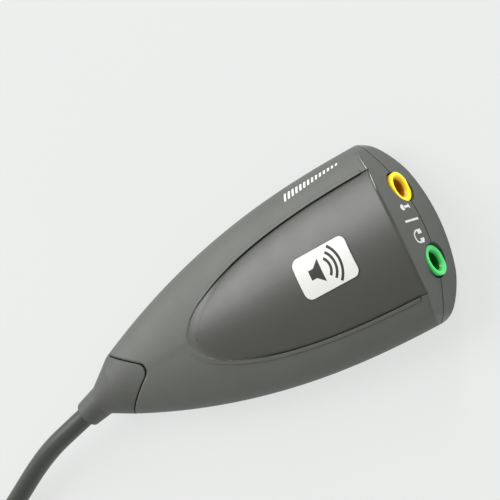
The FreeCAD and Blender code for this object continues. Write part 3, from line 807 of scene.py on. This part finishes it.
class SOUNDCARD_OT_prints(bpy.types.Operator):
    """Marks on the nose, the flank and the label"""
    bl_idname = "soundcard.prints"
    bl_label = "Prints"

    def execute(self, context):
        sizes, colours = context.scene.sound_card_sizes, context.scene.sound_card_finishes
        nose = NOSE_X / MM
        # Pad-printed ink: opaque and faintly uneven
        white = moulded_plastic("white_ink", colours.white_ink, "#F1F3F3", 0.5, 0.3, 0.004)
        dark = moulded_plastic("dark_ink", colours.dark_ink, "#303131", 0.5, 0.3, 0.004)
        ink = sizes.ink_thickness
        face = dict(
            node="top_shell", slot="label_print", material=white, along=(0, 1, 0), outward=(1, 0, 0.13),
            thickness=ink,
        )
        press_on(self.microphone(), "print_microphone", place=(nose, 3.5, 9.5), **face)
        press_on([bar(0, 0, 0.42, 4.2, 3)], "print_divider", place=(nose, 0.75, 9.6), **face)
        press_on(self.headset(), "print_headset", place=(nose, -2.5, 9.7), **face)
        press_on(
            self.level_scale(), "print_level_scale", "label_print", white, "top_shell",
            (nose - 16.0, 16.0, 9.8), (-1, 0, 0), (0, 0.555, 0.832), ink,
        )
        press_on(
            self.loudspeaker(), "print_loudspeaker", "chip_black", dark, "label",
            ((NOSE_X - sizes.label_mark_behind) / MM, 0, 15.0), (1, 0, 0), (0, 0, 1), ink,
        )
        return {"FINISHED"}

    def microphone(self):
        """Round head on a handle with a foot."""
        return [disc(0, 0.75, 0.6), bar(0, -0.35, 0.46, 1.7, 2), bar(0, -1.25, 0.9, 0.26)]

    def headset(self):
        """Headband over two ear cushions."""
        return [
            arc(0, 0, 1.0, 1.32, (0, 1)), bar(-1.16, -0.6, 0.32, 1.2), bar(1.16, -0.6, 0.32, 1.2),
            bar(-0.72, -0.75, 0.56, 1.2), bar(0.72, -0.75, 0.56, 1.2),
        ]

    def level_scale(self):
        """A row of bars that rises along the flank."""
        count, pitch = 14, 0.98
        bars = []
        for i in range(count):
            height = 0.5 + 1.3 * i / (count - 1)
            bars.append(bar((i - (count - 1) / 2) * pitch, height / 2 - 0.9, 0.5, height, 2))
        return bars

    def loudspeaker(self):
        """Magnet, cone and three waves."""
        waves = [arc(-0.9, 0, r, r + 0.55, (0.75, 0.66), (0.75, -0.66)) for r in (2.0, 3.2, 4.4)]
        return [bar(-2.9, 0, 1.2, 1.9, 4), cone(-1.5, 0, 1.6, 1.9, 4.6, 6)] + waves


class SOUNDCARD_OT_electronics(bpy.types.Operator):
    """Finishes of the board and what is on it"""
    bl_idname = "soundcard.electronics"
    bl_label = "Electronics"

    def execute(self, context):
        dress("circuit_board", solder_mask("board_lacquer", "#0F4A2A", "#2C6B40"))
        # Moulded epoxy: dead matte, nearly black
        dress("codec_chip", moulded_plastic("chip_epoxy", "#161616", "#1C1C1C", 0.6, 0.2, 0.004))
        # Tinned bronze strip: bright, with faint rolling lines
        tinned = drawn_metal("tinned_strip", "#C9CACB", 0.3, 0.15)
        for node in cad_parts:
            if node.endswith("_contact") or node == "codec_leads":
                dress(node, tinned)
        # Deep-drawn cans: satin, with lines round the draw
        dress("crystal", drawn_metal("drawn_steel_can", "#C4C5C6", 0.28, 0.2))
        dress("electrolytic_capacitors", drawn_metal("drawn_aluminium", "#BFC2C8", 0.32, 0.2))
        # Fired chips: fine-grained bodies, the resistors glazed
        ceramic = moulded_plastic("fired_ceramic", "#9A7A55", "#A5855F", 0.4, 0.1, 0.002)
        dress("ceramic_capacitors", ceramic)
        dress("resistors", moulded_plastic("glazed_resistor", "#1B1B1D", "#202022", 0.3, 0.1, 0.002))
        # Thin extruded PVC on the conductors
        for colour, tone, drift in (
            ("red", "#B3221B", "#BB2A22"), ("white", "#E4E4E0", "#E9E9E6"),
            ("green", "#1E7A3A", "#258242"), ("black", "#19191A", "#1F1F20"),
        ):
            pvc = moulded_plastic(f"wire_pvc_{colour}", tone, drift, 0.4, 0.3, 0.004)
            dress(f"wire_{colour}", pvc)
        return {"FINISHED"}


class SOUNDCARD_OT_plug(bpy.types.Operator):
    """Finishes of the plug on the lead"""
    bl_idname = "soundcard.plug"
    bl_label = "Plug"

    def execute(self, context):
        colours = context.scene.sound_card_finishes
        # PVC moulded over the plug: the lead's colour, with the tool's fine grain
        pvc = moulded_plastic("plug_pvc", colours.lead, colours.lead_drift, 0.5, 0.4, 0.015)
        dress("plug_overmould", pvc)
        # Nickel-plated folded sheet: bright, with faint rolling lines
        dress("plug_shell", drawn_metal("nickel_plated_sheet", "#CFCFCC", 0.26, 0.12))
        # Glass-filled nylon: off-white and slightly grainy
        nylon = moulded_plastic("insulator_nylon", "#DEDEDA", "#E4E4E0", 0.45, 0.3, 0.003)
        dress("plug_insulator", nylon)
        # Gold flash over nickel
        dress("plug_contacts", drawn_metal("gold_flash", "#D9A94A", 0.25, 0.1))
        return {"FINISHED"}


class SOUNDCARD_PT_panel(bpy.types.Panel):
    bl_label = "Sound Card"
    bl_idname = "SOUNDCARD_PT_panel"
    bl_space_type = "VIEW_3D"
    bl_region_type = "UI"
    bl_category = "Sound Card"

    def draw(self, context):
        for operator in OPERATORS:
            self.layout.operator(operator.bl_idname)


OPERATORS = (
    SOUNDCARD_OT_stage,
    SOUNDCARD_OT_lead,
    SOUNDCARD_OT_housing,
    SOUNDCARD_OT_panel_tip,
    SOUNDCARD_OT_jacks,
    SOUNDCARD_OT_prints,
    SOUNDCARD_OT_electronics,
    SOUNDCARD_OT_plug,
)
GROUPS = {
    "sound_card_sizes": SoundCardSizes,
    "sound_card_finishes": SoundCardFinishes,
    "sound_card_stage": SoundCardStage,
}
CLASSES = (*GROUPS.values(), *OPERATORS, SOUNDCARD_PT_panel)


def register():
    for cls in CLASSES:
        bpy.utils.register_class(cls)
    for name, group in GROUPS.items():
        setattr(bpy.types.Scene, name, PointerProperty(type=group))


def unregister():
    for name in GROUPS:
        delattr(bpy.types.Scene, name)
    for cls in reversed(CLASSES):
        bpy.utils.unregister_class(cls)


def main():
    register()
    bpy.ops.soundcard.stage()
    bpy.ops.soundcard.lead()
    bpy.ops.soundcard.housing()
    bpy.ops.soundcard.panel_tip()
    bpy.ops.soundcard.jacks()
    bpy.ops.soundcard.prints()
    bpy.ops.soundcard.electronics()
    bpy.ops.soundcard.plug()


if __name__ == "__main__":
    main()
